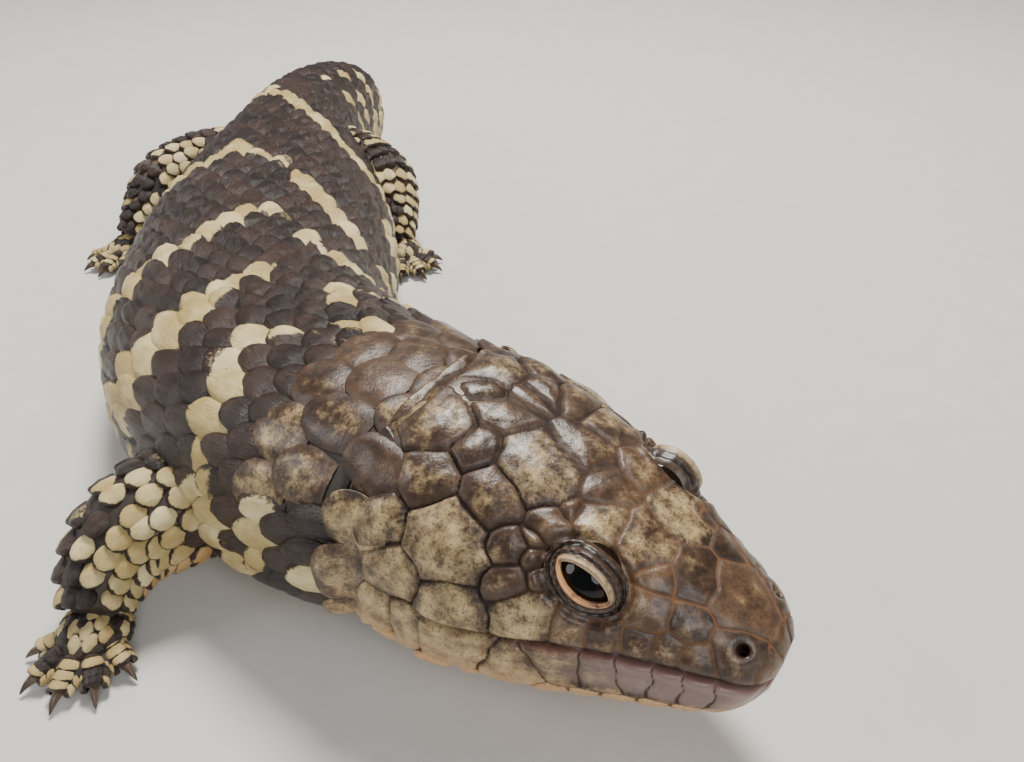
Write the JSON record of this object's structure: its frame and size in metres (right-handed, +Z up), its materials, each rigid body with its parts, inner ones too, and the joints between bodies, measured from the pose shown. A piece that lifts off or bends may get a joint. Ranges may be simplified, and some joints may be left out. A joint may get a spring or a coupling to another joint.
{
  "type": "shingleback skink",
  "caption": "Life-size still model of a shingleback, a blue-tongued skink, resting on its belly with its head turned to its left.",
  "frame": {"origin": "on the floor, at the middle of the flat of the belly, under the middle of the trunk", "axes": "+Z up; the middle of the trunk faces -Y; the animal's left, to which head and tail turn, is +X"},
  "size_m": [0.1635, 0.3128, 0.0519],
  "materials": {
    "dark_scales": "glossy dark brown plated scales, banded and blotched with cream",
    "pale_scales": "cream and orange-tan scales, dark at the lips",
    "eye": "wet black eye",
    "claw": "dark horn"
  },
  "bodies": {
    "root": {"head": "dark_scales", "lower_jaw": "pale_scales", "neck": "dark_scales", "torso_front": "dark_scales", "torso_mid": "dark_scales", "torso_rear": "dark_scales", "tail_base": "dark_scales", "tail_tip": "dark_scales", "eye_left": "eye", "eye_right": "eye", "foreleg_left": "dark_scales", "foreleg_right": "dark_scales", "hindleg_left": "dark_scales", "hindleg_right": "dark_scales", "forefoot_left": "dark_scales", "forefoot_right": "dark_scales", "hindfoot_left": "dark_scales", "hindfoot_right": "dark_scales", "claw_fore_left_1": "claw", "claw_fore_left_2": "claw", "claw_fore_left_3": "claw", "claw_fore_left_4": "claw", "claw_fore_left_5": "claw", "claw_fore_right_1": "claw", "claw_fore_right_2": "claw", "claw_fore_right_3": "claw", "claw_fore_right_4": "claw", "claw_fore_right_5": "claw", "claw_hind_left_1": "claw", "claw_hind_left_2": "claw", "claw_hind_left_3": "claw", "claw_hind_left_4": "claw", "claw_hind_left_5": "claw", "claw_hind_right_1": "claw", "claw_hind_right_2": "claw", "claw_hind_right_3": "claw", "claw_hind_right_4": "claw", "claw_hind_right_5": "claw"}
  },
  "joints": []
}
